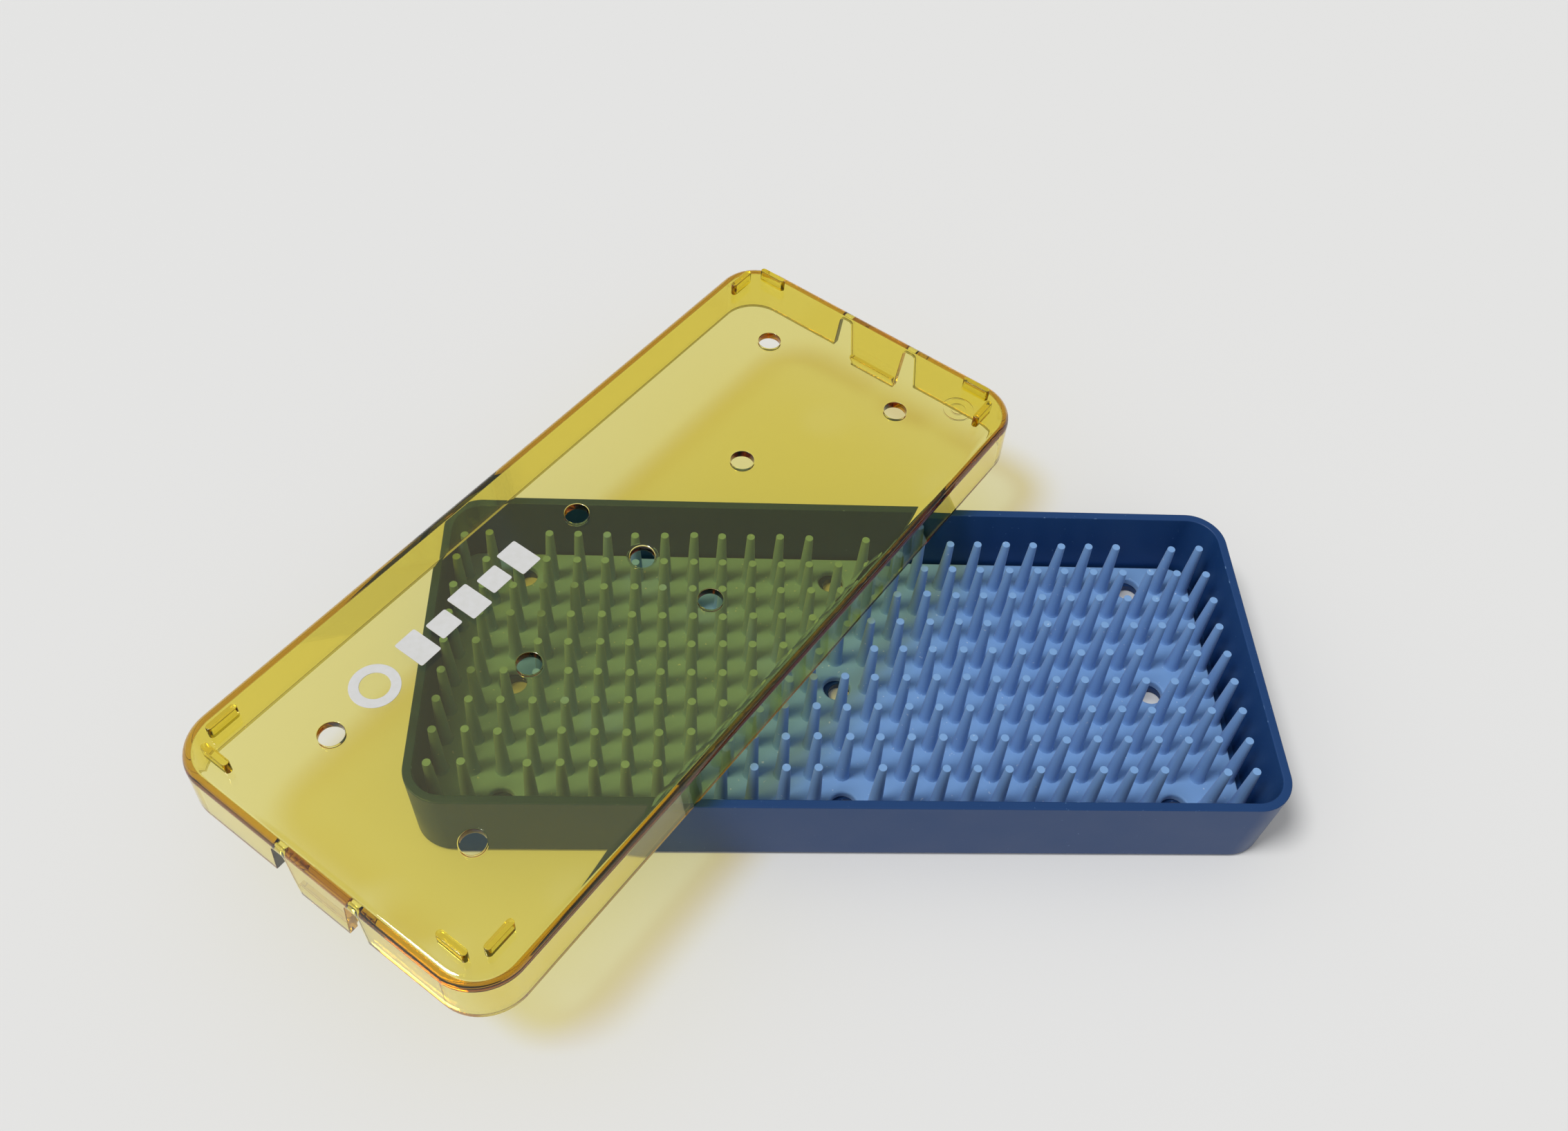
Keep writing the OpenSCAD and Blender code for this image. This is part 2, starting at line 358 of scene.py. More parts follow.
@dataclass(frozen=True)
class AmberPolysulfone:
    """Clear polysulfone, which is amber by itself.

    The eye sees pale yellow through the panel, and orange to brown where light has come along
    a wall or through the rounded edge.
    """

    name: str = "moulded_polysulfone_amber"
    ior: float = 1.6
    roughness: float = 0.02
    # A metre takes strength x (1 - passed) of each colour, so blue goes within a few millimetres.
    passed: tuple[float, float, float] = (0.961, 0.9056, 0.267)
    strength: float = 900.0
    lamp_tint: str = "#fbfbfa"
    flow_mm: float = 14.0

    def build(self) -> bpy.types.Material:
        """Makes the material.

        Returns:
            The material.
        """
        material, tree = blank_material(self.name)
        place = add_node(tree, "ShaderNodeTexCoord").outputs["Object"]
        flow = add_node(
            tree, "ShaderNodeTexNoise", Vector=place, Scale=per_metre(self.flow_mm), Detail=2.0
        )
        bump = add_node(
            tree, "ShaderNodeBump", Strength=0.05, Distance=0.1 * MM, Height=flow.outputs["Fac"]
        )
        clear = add_node(
            tree,
            "ShaderNodeBsdfPrincipled",
            Base_Color=(1.0, 1.0, 1.0, 1.0),
            Roughness=self.roughness,
            IOR=self.ior,
            Transmission_Weight=1.0,
            Normal=bump.outputs[0],
        )
        lamps = add_node(tree, "ShaderNodeBsdfTransparent", Color=linear(self.lamp_tint))
        path = add_node(tree, "ShaderNodeLightPath")
        # Lamps and soft bounced light go straight through and light what is under the lid.
        bounced = add_node(
            tree,
            "ShaderNodeMixShader",
            i0=path.outputs["Is Diffuse Ray"],
            i1=clear.outputs[0],
            i2=lamps.outputs[0],
        )
        surface = add_node(
            tree,
            "ShaderNodeMixShader",
            i0=path.outputs["Is Shadow Ray"],
            i1=bounced.outputs[0],
            i2=lamps.outputs[0],
        )
        volume = add_node(
            tree, "ShaderNodeVolumeAbsorption", Color=(*self.passed, 1.0), Density=self.strength
        )
        add_node(
            tree, "ShaderNodeOutputMaterial", Surface=surface.outputs[0], Volume=volume.outputs[0]
        )
        return material


@dataclass(frozen=True)
class PadPrintInk:
    """White epoxy ink, pad printed in one thin coat, which is matt and slightly mottled."""

    name: str = "pad_print_ink_white"
    colour: str = "#dcdcdd"
    thin: str = "#cfcfca"
    mottle_mm: float = 1.2
    roughness: float = 0.6

    def build(self) -> bpy.types.Material:
        """Makes the material.

        Returns:
            The material.
        """
        material, tree = blank_material(self.name)
        place = add_node(tree, "ShaderNodeTexCoord").outputs["Object"]
        mottle = add_node(
            tree, "ShaderNodeTexNoise", Vector=place, Scale=per_metre(self.mottle_mm), Detail=3.0
        )
        body = add_node(
            tree,
            "ShaderNodeMix",
            {"data_type": "RGBA"},
            i0=mottle.outputs["Fac"],
            i6=linear(self.thin),
            i7=linear(self.colour),
        )
        bump = add_node(
            tree, "ShaderNodeBump", Strength=0.1, Distance=0.01 * MM, Height=mottle.outputs["Fac"]
        )
        shader = add_node(
            tree,
            "ShaderNodeBsdfPrincipled",
            Base_Color=body.outputs[2],
            Roughness=self.roughness,
            Normal=bump.outputs[0],
        )
        add_node(tree, "ShaderNodeOutputMaterial", Surface=shader.outputs[0])
        return material


@dataclass(frozen=True)
class PaleTable:
    """A plain pale laminate for the object to stand on."""

    name: str = "pale_laminate"
    colour: str = "#e7e7e6"
    roughness: float = 0.85
    specular: float = 0.2

    def build(self) -> bpy.types.Material:
        """Makes the material.

        Returns:
            The material.
        """
        material, tree = blank_material(self.name)
        shader = add_node(
            tree,
            "ShaderNodeBsdfPrincipled",
            Base_Color=linear(self.colour),
            Roughness=self.roughness,
            Specular_IOR_Level=self.specular,
        )
        add_node(tree, "ShaderNodeOutputMaterial", Surface=shader.outputs[0])
        return material


# ---------------------------------------------------------------- shaping


class Join(Enum):
    """How one solid is worked into another."""

    ADD = "UNION"
    CUT = "DIFFERENCE"


def edges_where(bm: BMesh, wanted: Callable[[BMEdge], bool]) -> list[BMEdge]:
    """Lists the edges of bm for which wanted is true."""
    return [e for e in bm.edges if wanted(e)]


def rounded(bm: BMesh, edges: Sequence[BMEdge], radius: float, steps: int) -> None:
    """Rounds edges to a radius.

    Args:
        bm: the mesh.
        edges: the edges to round.
        radius: the radius, in the mesh's unit.
        steps: how many flats make the curve.
    """
    bmesh.ops.bevel(
        bm,
        geom=list(edges),
        offset=radius,
        offset_type="OFFSET",
        segments=steps,
        profile=0.5,
        affect="EDGES",
        clamp_overlap=True,
        material=-1,
    )


def upright_block(
    length: float, width: float, low: float, high: float, corner: float, steps: int = 16
) -> BMesh:
    """Makes a block with rounded upright corners, centred on the upright axis.

    Args:
        length: its size along X.
        width: its size along Y.
        low: the height of its underside.
        high: the height of its top.
        corner: the radius of its upright corners.
        steps: how many flats make each corner.

    Returns:
        The block.
    """
    bm = bmesh.new()
    bmesh.ops.create_cube(bm, size=1.0)
    bmesh.ops.scale(bm, vec=(length, width, high - low), verts=bm.verts)
    bmesh.ops.translate(bm, vec=(0, 0, (low + high) / 2), verts=bm.verts)
    upright = edges_where(
        bm, lambda e: abs(e.verts[0].co.z - e.verts[1].co.z) > (high - low) / 2
    )
    rounded(bm, upright, corner, steps)
    return bm


def level_face(bm: BMesh, height: float, facing: int) -> BMFace:
    """Finds the largest level face at a height.

    Args:
        bm: the mesh.
        height: the face's height.
        facing: 1 for a face that looks up and -1 for one that looks down.

    Returns:
        The face.
    """
    bm.normal_update()
    found = [
        f
        for f in bm.faces
        if f.normal.z * facing > 0.99 and abs(f.calc_center_median().z - height) < 1e-4
    ]
    return max(found, key=lambda f: f.calc_area())


def draw_in(verts: Iterable[BMVert], by: float) -> None:
    """Moves a ring of points towards the upright axis by the same amount along X and along Y.

    Args:
        verts: the ring's points.
        by: how far each side moves in.
    """
    ring = list(verts)
    reach_x = max(abs(v.co.x) for v in ring)
    reach_y = max(abs(v.co.y) for v in ring)
    for v in ring:
        v.co.x *= 1 - by / reach_x
        v.co.y *= 1 - by / reach_y


def pushed(bm: BMesh, face: BMFace, by: float) -> BMFace:
    """Extrudes a level face upwards or downwards.

    Args:
        bm: the mesh.
        face: the face to extrude.
        by: how far it goes up, or down where negative.

    Returns:
        The face at its new height.
    """
    made = bmesh.ops.extrude_discrete_faces(bm, faces=[face])["faces"][0]
    bmesh.ops.translate(bm, vec=(0, 0, by), verts=made.verts)
    return made


def turned(profile: Sequence[tuple[float, float]], steps: int) -> BMesh:
    """Turns a profile about the upright axis, like work on a lathe.

    Args:
        profile: radius and height of each point. A closed body starts and ends on the axis,
            or ends where it starts.
        steps: how many flats go round.

    Returns:
        The turned body.
    """
    bm = bmesh.new()
    points = [bm.verts.new((r, 0, z)) for r, z in profile]
    lines = [bm.edges.new(pair) for pair in zip(points, points[1:])]
    bmesh.ops.spin(
        bm,
        geom=[*points, *lines],
        cent=(0, 0, 0),
        axis=(0, 0, 1),
        angle=math.tau,
        steps=steps,
        use_merge=True,
    )
    bmesh.ops.remove_doubles(bm, verts=bm.verts, dist=1e-5)
    bmesh.ops.recalc_face_normals(bm, faces=bm.faces)
    return bm


def prism(outline: Sequence[tuple[float, float]], start: float, end: float) -> BMesh:
    """Makes a bar whose section lies in the YZ plane.

    Args:
        outline: Y and Z of each corner of the section.
        start: X of its first end.
        end: X of its other end.

    Returns:
        The bar.
    """
    bm = bmesh.new()
    face = bm.faces.new([bm.verts.new((start, y, z)) for y, z in outline])
    made = bmesh.ops.extrude_face_region(bm, geom=[face])["geom"]
    moved = [g for g in made if isinstance(g, BMVert)]
    bmesh.ops.translate(bm, vec=(end - start, 0, 0), verts=moved)
    bmesh.ops.recalc_face_normals(bm, faces=bm.faces)
    return bm


def copied_to(tool: BMesh, places: Iterable[Matrix]) -> BMesh:
    """Repeats a body at several places in one mesh.

    Args:
        tool: the body, which is used up.
        places: a placement for each copy.

    Returns:
        One mesh with all the copies.
    """
    mesh = bpy.data.meshes.new("pattern")
    tool.to_mesh(mesh)
    tool.free()
    many = bmesh.new()
    for place in places:
        before = len(many.verts)
        many.from_mesh(mesh)
        many.verts.ensure_lookup_table()
        bmesh.ops.transform(many, matrix=place, verts=many.verts[before:])
    bpy.data.meshes.remove(mesh)
    return many


def worked(body: BMesh, tool: BMesh, how: Join) -> BMesh:
    """Joins a tool to a body or cuts the body with it.

    Args:
        body: the body, which is used up.
        tool: what is added or cut away, which is used up.
        how: whether it is added or cut.

    Returns:
        The new body.
    """
    pair = []
    for bm in (body, tool):
        mesh = bpy.data.meshes.new("work")
        bm.to_mesh(mesh)
        bm.free()
        piece = bpy.data.objects.new("work", mesh)
        bpy.context.scene.collection.objects.link(piece)
        pair.append(piece)
    modifier = pair[0].modifiers.new("work", "BOOLEAN")
    modifier.operation = how.value
    modifier.solver = "EXACT"
    modifier.object = pair[1]
    graph = bpy.context.evaluated_depsgraph_get()
    result = bmesh.new()
    result.from_object(pair[0], graph)
    for piece in pair:
        mesh = piece.data
        bpy.data.objects.remove(piece)
        bpy.data.meshes.remove(mesh)
    bmesh.ops.remove_doubles(result, verts=result.verts, dist=1e-4)
    return result


def scored(bm: BMesh, along: Sequence[float], across: Sequence[float]) -> None:
    """Scores a body on planes between its holes, so that no flat face holds more than one of them.

    Args:
        bm: the mesh.
        along: X of each plane that faces along X.
        across: Y of each plane that faces along Y.
    """
    planes = [((x, 0, 0), (1, 0, 0)) for x in along] + [((0, y, 0), (0, 1, 0)) for y in across]
    for point, normal in planes:
        bmesh.ops.bisect_plane(
            bm,
            geom=[*bm.verts, *bm.edges, *bm.faces],
            dist=1e-5,
            plane_co=point,
            plane_no=normal,
        )


def flared_drill(bore: float, low: float, high: float, lip: float, steps: int = 32) -> BMesh:
    """Makes a drill that leaves a hole with softly rounded lips.

    Args:
        bore: the hole's diameter.
        low: the height of the sheet's underside.
        high: the height of its top.
        lip: the radius of the rounded lips.
        steps: how many flats go round.

    Returns:
        The drill, on the upright axis.
    """
    radius, over = bore / 2, 0.5
    low_lip = [
        (radius + lip * (1 - math.sin(a)), low + lip * (1 - math.cos(a)))
        for a in (math.radians(d) for d in (0, 30, 60, 90))
    ]
    high_lip = [(r, high - (z - low)) for r, z in reversed(low_lip)]
    profile = [
        (0, low - over),
        (radius + lip, low - over),
        *low_lip,
        *high_lip,
        (radius + lip, high + over),
        (0, high + over),
    ]
    return turned(profile, steps)


def finished(
    name: str,
    bm: BMesh,
    place: Matrix,
    material: bpy.types.Material,
    smooth_deg: float = 50.0,
) -> bpy.types.Object:
    """Turns a finished shape into a piece of the object.

    Args:
        name: the piece's name.
        bm: its shape in millimetres, which is used up.
        place: where its own frame lies in the object's, in millimetres.
        material: its finish.
        smooth_deg: edges that turn less than this are shaded smooth.

    Returns:
        The piece, in metres, with its place in its mesh.
    """
    bmesh.ops.transform(bm, matrix=Matrix.Scale(MM, 4) @ place, verts=bm.verts)
    mesh = bpy.data.meshes.new(name)
    bm.to_mesh(mesh)
    bm.free()
    mesh.materials.append(material)
    mesh.shade_smooth()
    mesh.set_sharp_from_angle(angle=math.radians(smooth_deg))
    piece = bpy.data.objects.new(name, mesh)
    bpy.context.scene.collection.objects.link(piece)
    weighted = piece.modifiers.new("flat faces stay flat", "WEIGHTED_NORMAL")
    weighted.keep_sharp = True
    weighted.weight = 80
    return piece


def open_edges(piece: bpy.types.Object) -> int:
    """Counts the edges of a piece that don't have exactly two faces.

    Args:
        piece: the piece.

    Returns:
        How many there are.
    """
    bm = bmesh.new()
    bm.from_mesh(piece.data)
    count = sum(1 for e in bm.edges if len(e.link_faces) != 2)
    bm.free()
    return count


# ---------------------------------------------------------------- the parts


@dataclass
class DrainPattern:
    """The nine drain holes that the base and the mat share."""

    pitch_l: float = 5.5
    pitch_w: float = 6.2
    columns: tuple[int, ...] = (-11, 0, 11)
    rows: tuple[int, ...] = (-4, 0, 4)

    def places(self, shift: float = 0.0) -> list[Matrix]:
        """Gives a placement for each hole.

        Args:
            shift: how far the whole pattern is moved along X.

        Returns:
            The placements.
        """
        return [
            Matrix.Translation((c * self.pitch_l + shift, r * self.pitch_w, 0))
            for c in self.columns
            for r in self.rows
        ]


@dataclass
class TrayBase:
    """The opaque tray that the mat lies in."""

    low: Vector
    high: Vector
    finish: MouldedPolypropylene = field(default_factory=MouldedPolypropylene)
    drains: DrainPattern = field(default_factory=DrainPattern)
    corner: float = 7.0
    lean: float = 0.3
    rim: float = 1.6
    cavity_lean: float = 0.6
    floor: float = 1.8
    foot: float = 0.8
    foot_inset: float = 0.5
    drain: float = 4.4
    drain_lip: float = 0.3
    edge: float = 0.22
    catch_low: float = 4.7
    catch_high: float = 8.35
    catch_width: float = 13.8
    catch_depth: float = 0.7
    catch_block: float = 2.4
    catch_round: float = 0.3
    scored_along: tuple[float, ...] = (-30.0, 30.0)
    scored_across: tuple[float, ...] = (-12.0, 12.0)

    def shell(self) -> BMesh:
        """Shapes walls and floor from one block, with the foot drawn in and a hollow pushed down.

        Returns:
            The shape, in millimetres.
        """
        length, width = self.high.x - self.low.x, self.high.y - self.low.y
        bm = upright_block(length, width, self.foot, self.high.z, self.corner)
        draw_in(level_face(bm, self.foot, -1).verts, self.lean)
        sole = pushed(bm, level_face(bm, self.foot, -1), -self.foot)
        draw_in(sole.verts, self.foot_inset)
        mouth = level_face(bm, self.high.z, 1)
        bmesh.ops.inset_region(bm, faces=[mouth], thickness=self.rim, use_even_offset=True)
        hollow = pushed(bm, level_face(bm, self.high.z, 1), self.floor - self.high.z)
        draw_in(hollow.verts, self.cavity_lean)
        self.clean(bm)
        rim_edges = edges_where(
            bm,
            lambda e: all(abs(v.co.z - self.high.z) < 1e-4 for v in e.verts)
            and e.calc_face_angle(0) > 1,
        )
        rounded(bm, rim_edges, self.edge, 3)
        foot_edges = edges_where(
            bm, lambda e: all(abs(v.co.z) < 1e-4 for v in e.verts) and e.calc_face_angle(0) > 0.5
        )
        rounded(bm, foot_edges, self.edge, 2)
        return bm

    @staticmethod
    def clean(bm: BMesh) -> None:
        """Merges what touches and turns every face outwards."""
        bmesh.ops.remove_doubles(bm, verts=bm.verts, dist=1e-5)
        bmesh.ops.recalc_face_normals(bm, faces=bm.faces)

    def catches(self) -> BMesh:
        """Makes the two soft-cornered blocks that cut the catch recesses in the end walls.

        Returns:
            The shape, in millimetres.
        """
        height = self.catch_high - self.catch_low
        block = bmesh.new()
        bmesh.ops.create_cube(block, size=1.0)
        size = (self.catch_block, self.catch_width, height)
        bmesh.ops.scale(block, vec=size, verts=block.verts)
        rounded(block, block.edges[:], self.catch_round, 3)
        reach = self.high.x - self.lean / 2 + self.catch_block / 2 - self.catch_depth
        return copied_to(
            block,
            [
                Matrix.Translation((s * reach, 0, (self.catch_low + self.catch_high) / 2))
                for s in (-1, 1)
            ],
        )

    def build(self) -> bpy.types.Object:
        """Makes the piece.

        Returns:
            The piece, in metres.
        """
        bm = self.shell()
        scored(bm, self.scored_along, self.scored_across)
        drills = copied_to(
            flared_drill(self.drain, 0, self.floor, self.drain_lip), self.drains.places()
        )
        bm = worked(bm, drills, Join.CUT)
        bm = worked(bm, self.catches(), Join.CUT)
        return finished("tray_base", bm, Matrix.Identity(4), self.finish.build())


@dataclass
class FingerMat:
    """The soft mat: a sheet with a forest of upright pins."""

    low: Vector
    high: Vector
    finish: MattSilicone = field(default_factory=MattSilicone)
    drains: DrainPattern = field(default_factory=DrainPattern)
    sheet: float = 1.8
    corner: float = 4.0
    edge: float = 0.35
    root: float = 2.6
    tip: float = 1.5
    drain: float = 5.0
    lip: float = 0.45
    columns: int = 13
    rows: int = 4
    flats: int = 12
    lean_deg: float = 0.7
    most_lean_deg: float = 1.2
    seed: int = 11
    smooth_deg: float = 40.0
    sunk: float = 0.4
    # How far each point of the root's flare stands out, and its height over the sheet.
    flare: tuple[tuple[float, float], ...] = ((0.26, -0.03), (0.1, 0.25), (0.0, 0.9))
    # The same for the tip's small bevel, from the pin's top.
    bevel: tuple[tuple[float, float], ...] = ((0.01, -0.06), (-0.04, -0.01))

    @property
    def shift(self) -> float:
        """Gives how far the mat lies off centre along X."""
        return (self.low.x + self.high.x) / 2

    @property
    def top(self) -> float:
        """Gives the height of the sheet's upper face."""
        return self.low.z + self.sheet

    def pin(self) -> BMesh:
        """Turns one pin, with a flare at its root, a slow taper and a flat tip.

        Returns:
            The shape, in millimetres.
        """
        height = self.high.z - self.top
        root, tip = self.root / 2, self.tip / 2
        profile = [
            (0, -self.sunk),
            *((root + out, up) for out, up in self.flare),
            *((tip + out, height + up) for out, up in self.bevel),
            (0, height + self.bevel[-1][1]),
        ]
        return turned(profile, self.flats)

    def pin_places(self) -> list[Matrix]:
        """Gives a placement with a slight lean and turn to each pin, and none at a drain hole.

        Returns:
            The placements.
        """
        chance = random.Random(self.seed)
        places = []
        for c in range(-self.columns, self.columns + 1):
            for r in range(-self.rows, self.rows + 1):
                if c in self.drains.columns and r in self.drains.rows:
                    continue
                lean = math.radians(abs(chance.gauss(0, self.lean_deg)))
                lean = min(lean, math.radians(self.most_lean_deg))
                heading = chance.uniform(0, math.tau)
                tilt = Matrix.Rotation(lean, 4, (math.cos(heading), math.sin(heading), 0))
                spin = Matrix.Rotation(chance.uniform(0, math.tau), 4, "Z")
                foot = Matrix.Translation(
                    (c * self.drains.pitch_l + self.shift, r * self.drains.pitch_w, self.top)
                )
                places.append(foot @ tilt @ spin)
        return places

    def build(self) -> bpy.types.Object:
        """Makes the piece.

        Returns:
            The piece, in metres.
        """
        length, width = self.high.x - self.low.x, self.high.y - self.low.y
        bm = upright_block(length, width, self.low.z, self.top, self.corner, 8)
        brim = edges_where(
            bm, lambda e: all(abs(v.co.z - self.top) < 1e-4 for v in e.verts)
        )
        rounded(bm, brim, self.edge, 3)
        bmesh.ops.translate(bm, vec=(self.shift, 0, 0), verts=bm.verts)
        drills = copied_to(
            flared_drill(self.drain, self.low.z, self.top, self.lip, 24),
            self.drains.places(self.shift),
        )
        bm = worked(bm, drills, Join.CUT)
        pins = copied_to(self.pin(), self.pin_places())
        mesh = bpy.data.meshes.new("pins")
        pins.to_mesh(mesh)
        pins.free()
        bm.from_mesh(mesh)
        bpy.data.meshes.remove(mesh)
        material = self.finish.build()
        return finished("silicone_mat", bm, Matrix.Identity(4), material, self.smooth_deg)


@dataclass
class LidFrame:
    """Where the lid's own frame lies, with the lid's rim at zero height and its length along X."""

    centre: Vector
    rim: float
    turn_deg: float = 52.4

    def matrix(self) -> Matrix:
        """Gives the placement in millimetres."""
        where = Matrix.Translation((self.centre.x, self.centre.y, self.rim))
        return where @ Matrix.Rotation(math.radians(self.turn_deg), 4, "Z")


@dataclass
class ClearLid:
    """The clear lid, with its latch tabs, stacking lugs and vents moulded in."""

    frame: LidFrame
    finish: AmberPolysulfone = field(default_factory=AmberPolysulfone)
    length: float = 156.1
    width: float = 69.7
    height: float = 11.2
    corner: float = 8.85
    wall: float = 1.7
    panel: float = 1.6
    lean: float = 0.15
    edge: float = 2.2
    inner_edge: float = 0.2
    cut_edge: float = 0.16
    tab_drop: float = 3.0
    tab_root: float = 13.2
    tab_tip: float = 10.8
    hook: float = 0.9
    hook_root: float = 2.6
    hook_nose: float = 0.5
    hook_sunk: float = 0.4
    hook_round: float = 0.12
    ledge: float = 0.2
    slot_top_width: float = 2.6
    slot_rim_width: float = 4.4
    slot_top: float = 8.3
    slot_round: float = 0.7
    vent: float = 4.4
    vent_lip: float = 0.22
    vent_sink: float = 5.8
    vent_sink_depth: float = 0.8
    vent_end: float = 59.2
    vent_side: float = 15.4
    lug_length: float = 5.9
    lug_width: float = 1.3
    lug_height: float = 2.5
    lug_edge: float = 0.25
    side_lug: tuple[float, float] = (68.35, 29.65)
    end_lug: tuple[float, float] = (73.45, 25.15)
    ring_at: tuple[float, float] = (68.15, -24.55)
    ring: float = 6.4
    ring_line: float = 0.3
    ring_depth: float = 0.15

    @property
    def inner_height(self) -> float:
        """Gives the height of the panel's underside."""
        return self.height - self.panel

    def tab_half(self, z: float) -> float:
        """Gives half a tab's width at a height above the rim."""
        grow = (self.tab_root - self.tab_tip) / 2
        return self.tab_tip / 2 + grow * (z + self.tab_drop) / (self.slot_top + self.tab_drop)

    def shell(self) -> BMesh:
        """Shapes walls and panel from one block that reaches down to the tabs' ends.

        Returns:
            The shape, in millimetres.
        """
        bm = upright_block(self.length, self.width, -self.tab_drop, 0, self.corner)
        crown = pushed(bm, level_face(bm, 0, 1), self.height)
        full_lean = self.lean * self.height / (self.height - self.edge)
        draw_in(crown.verts, full_lean)
        top_edges = edges_where(
            bm, lambda e: all(abs(v.co.z - self.height) < 1e-4 for v in e.verts)
        )
        rounded(bm, top_edges, self.edge, 14)
        mouth = level_face(bm, -self.tab_drop, -1)
        bmesh.ops.inset_region(bm, faces=[mouth], thickness=self.wall, use_even_offset=True)
        # The hollow leans as much as the outside, so each wall is a clear flat sheet.
        rim = pushed(bm, level_face(bm, -self.tab_drop, -1), self.tab_drop)
        ceiling = pushed(bm, rim, self.inner_height)
        draw_in(ceiling.verts, self.lean * self.inner_height / (self.height - self.edge))
        TrayBase.clean(bm)
        corner_edges = edges_where(
            bm,
            lambda e: all(abs(v.co.z - self.inner_height) < 1e-4 for v in e.verts)
            and e.calc_face_angle(0) > 1,
        )
        rounded(bm, corner_edges, self.inner_edge, 3)
        return bm

    def skirt_trim(self) -> BMesh:
        """Makes the blocks that cut the walls back to the rim beside the tabs.

        Returns:
            The shape, in millimetres.
        """
        along, across, deep = 200, 60, 6  # well past the lid on every side
        inner = (self.tab_half(0) + self.tab_half(0) + self.slot_rim_width) / 2
        block = bmesh.new()
        bmesh.ops.create_cube(block, size=1.0)
        bmesh.ops.scale(block, vec=(along, across, deep), verts=block.verts)
        bmesh.ops.translate(block, vec=(0, 0, -deep / 2), verts=block.verts)
        shift = inner + across / 2
        return copied_to(block, [Matrix.Translation((0, s * shift, 0)) for s in (-1, 1)])

    def slots(self) -> BMesh:
        """Makes the four bars that cut the slots beside the tabs, with two round top corners each.

        Returns:
            The shape, in millimetres.
        """
        below = -5.0
        inner_top = self.tab_root / 2
        outer_top = inner_top + self.slot_top_width
        rim_outer = self.tab_half(0) + self.slot_rim_width
        spread = (rim_outer - outer_top) / self.slot_top
        bar = prism(
            [
                (self.tab_half(below), below),
                (inner_top, self.slot_top),
                (outer_top, self.slot_top),
                (rim_outer - spread * below, below),
            ],
            self.length / 2 - 2 * self.wall,
            self.length / 2 + self.wall,
        )
        top_edges = edges_where(
            bar,
            lambda e: all(abs(v.co.z - self.slot_top) < 1e-4 for v in e.verts)
            and abs(e.verts[0].co.x - e.verts[1].co.x) > 1,
        )
        rounded(bar, top_edges, self.slot_round, 5)
        flip = Matrix.Scale(-1, 4, (0, 1, 0))
        half_turn = Matrix.Rotation(math.pi, 4, "Z")
        four = copied_to(bar, [Matrix.Identity(4), flip, half_turn, half_turn @ flip])
        bmesh.ops.recalc_face_normals(four, faces=four.faces)
        return four

    def hooks(self) -> BMesh:
        """Makes the hook along the inside of each tab.

        Returns:
            The shape, in millimetres.
        """
        inner = self.length / 2 - self.wall
        half = self.tab_half(-1.0) - 0.2
        face = bmesh.new()
        corners = [
            (inner + self.hook_sunk, -self.hook_root),
            (inner - self.hook, self.ledge - self.hook_nose),
            (inner - self.hook, self.ledge),
            (inner + self.hook_sunk, self.ledge),
        ]
        section = face.faces.new([face.verts.new((x, -half, z)) for x, z in corners])
        made = bmesh.ops.extrude_face_region(face, geom=[section])["geom"]
        bmesh.ops.translate(
            face, vec=(0, 2 * half, 0), verts=[g for g in made if isinstance(g, BMVert)]
        )
        bmesh.ops.recalc_face_normals(face, faces=face.faces)
        nose = edges_where(
            face, lambda e: all(abs(v.co.x - (inner - self.hook)) < 1e-4 for v in e.verts)
        )
        rounded(face, nose, self.hook_round, 2)
        return copied_to(face, [Matrix.Identity(4), Matrix.Rotation(math.pi, 4, "Z")])

    def lugs(self) -> BMesh:
        """Makes the eight stacking lugs, two in each corner, with rounded ends and softened tops.

        Returns:
            The shape, in millimetres.
        """
        low, high = self.height - 0.3, self.height + self.lug_height
        end = self.lug_width / 2 - 0.01
        lug = upright_block(self.lug_length, self.lug_width, low, high, end, 6)
        tops = edges_where(lug, lambda e: all(abs(v.co.z - high) < 1e-4 for v in e.verts))
        rounded(lug, tops, self.lug_edge, 3)
        quarter = Matrix.Rotation(math.pi / 2, 4, "Z")
        (side_x, side_y), (end_x, end_y) = self.side_lug, self.end_lug
        places = []
        for sx in (-1, 1):
            for sy in (-1, 1):
                places.append(Matrix.Translation((sx * side_x, sy * side_y, 0)))
                places.append(Matrix.Translation((sx * end_x, sy * end_y, 0)) @ quarter)
        return copied_to(lug, places)

    def vents(self) -> BMesh:
        """Makes the drills for the vents other than the middle one.

        Returns:
            The shape, in millimetres.
        """
        drill = flared_drill(self.vent, self.inner_height, self.height, self.vent_lip, 40)
        spots = [(sx * self.vent_end, sy * self.vent_side) for sx in (-1, 1) for sy in (-1, 1)]
        spots += [(0, sy * self.vent_side) for sy in (-1, 1)]
        spots += [(sx * self.vent_end / 2, 0) for sx in (-1, 1)]
        return copied_to(drill, [Matrix.Translation((x, y, 0)) for x, y in spots])

    def middle_vent(self) -> BMesh:
        """Turns the drill for the middle vent, whose top is countersunk.

        Returns:
            The shape, in millimetres.
        """
        radius, sink = self.vent / 2, self.vent_sink / 2
        return turned(
            [
                (0, self.inner_height - 0.5),
                (radius + 0.2, self.inner_height - 0.5),
                (radius + 0.2, self.inner_height),
                (radius, self.inner_height + 0.2),
                (radius, self.height - self.vent_sink_depth),
                (sink, self.height),
                (sink, self.height + 0.5),
                (0, self.height + 0.5),
            ],
            40,
        )

